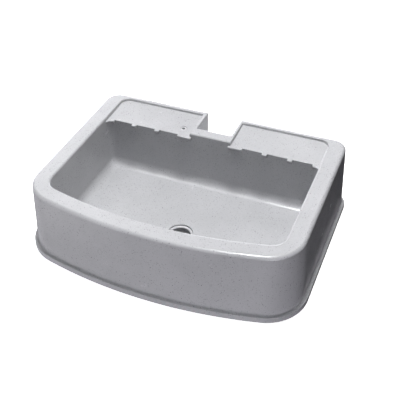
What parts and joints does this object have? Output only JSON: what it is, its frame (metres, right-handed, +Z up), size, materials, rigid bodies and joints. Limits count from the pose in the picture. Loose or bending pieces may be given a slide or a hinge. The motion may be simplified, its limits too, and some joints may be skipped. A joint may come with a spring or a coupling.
{
  "type": "resin wash station basin",
  "caption": "Wide hand-wash basin moulded in light grey speckled resin, with a bowed front apron, sunk rear shelves, a square service notch and a floor outlet with a lift-out strainer.",
  "frame": {"origin": "middle of the footprint, on the plane the base flange rests on", "axes": "+X to the right of the user standing at the front, +Y to the rear, +Z up"},
  "size_m": [0.789, 0.5954, 0.205],
  "materials": {
    "resin": "satin speckled",
    "drain_plastic": "satin",
    "strainer": "matte",
    "rubber": "matte",
    "washer": "matte",
    "nut_plastic": "satin",
    "brass": "satin"
  },
  "bodies": {
    "basin": {"basin_shell": "resin", "drain_body": "drain_plastic", "drain_top_seal": "rubber", "drain_bottom_seal": "rubber", "drain_slip_washer": "washer", "drain_backnut": "nut_plastic", "ledge_bush": "drain_plastic", "ledge_bush_nut": "nut_plastic", "fixing_insert_rear_left": "brass", "fixing_insert_rear_right": "brass", "fixing_insert_front_left": "brass", "fixing_insert_front_right": "brass"},
    "strainer": {"strainer_basket": "strainer"}
  },
  "joints": [
    {"name": "strainer_lift", "type": "slide", "parent": "basin", "child": "strainer", "axis": [0, 0, 1], "range_m": [0, 0.03]}
  ]
}
